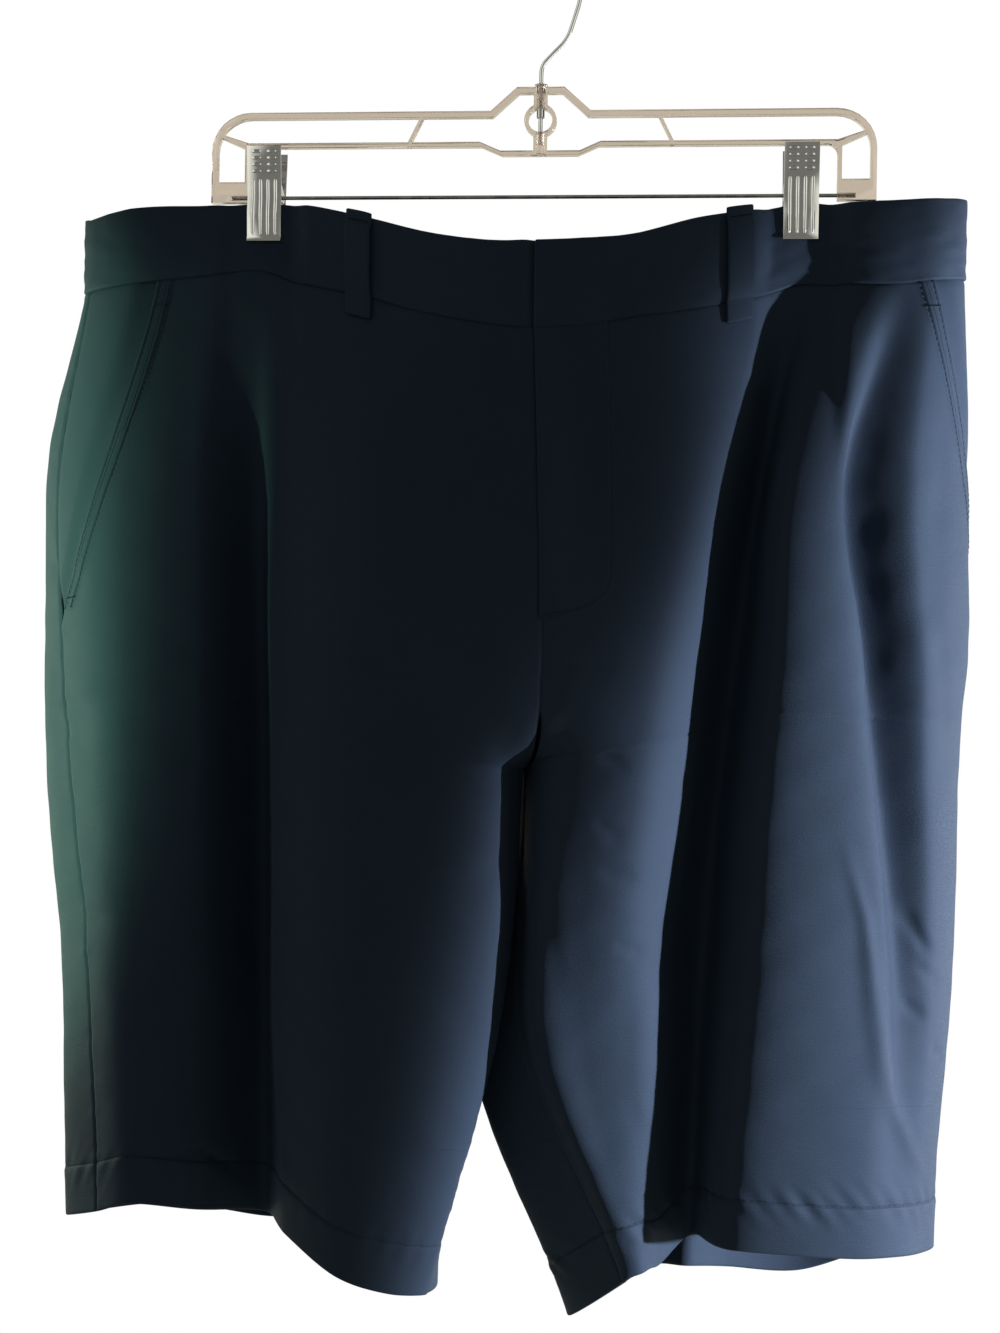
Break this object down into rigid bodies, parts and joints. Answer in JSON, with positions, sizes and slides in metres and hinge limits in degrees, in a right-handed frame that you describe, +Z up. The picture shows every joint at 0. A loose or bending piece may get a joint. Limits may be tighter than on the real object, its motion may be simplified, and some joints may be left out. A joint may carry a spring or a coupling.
{
  "type": "tailored athletic shorts on clip hanger",
  "caption": "Flat-front tailored sports shorts with waistband, fly, belt loops and slant pockets, hung by their waist from the spring clips of a clear moulded hanger with a wire hook.",
  "frame": {"origin": "inside top of the hook, where it rests on a rail", "axes": "+Z up; -Y is the way the garment's front faces; +X to the right of someone who faces its front"},
  "size_m": [0.49, 0.1519, 0.7188],
  "materials": {
    "cloth": "smooth stretch-woven polyester, very dark navy with a soft sheen",
    "clear_plastic": "clear moulded polystyrene, polished",
    "chrome": "bright nickel plate on pressed steel",
    "steel": "drawn steel wire, plated"
  },
  "bodies": {
    "root": {"front_right": "cloth", "front_left": "cloth", "back_right": "cloth", "back_left": "cloth", "waistband_right": "cloth", "waistband_left": "cloth", "fly_shield": "cloth", "pocket_facing_left": "cloth", "pocket_facing_right": "cloth", "loop_front_right": "cloth", "loop_front_left": "cloth", "loop_back_right": "cloth", "loop_back_left": "cloth", "loop_centre_back": "cloth", "clip_left_front": "chrome", "clip_left_back": "chrome", "clip_left_spring": "chrome", "clip_right_front": "chrome", "clip_right_back": "chrome", "clip_right_spring": "chrome", "hanger_frame": "clear_plastic", "hook": "steel", "hook_collar": "steel", "rod": "steel"}
  },
  "joints": []
}
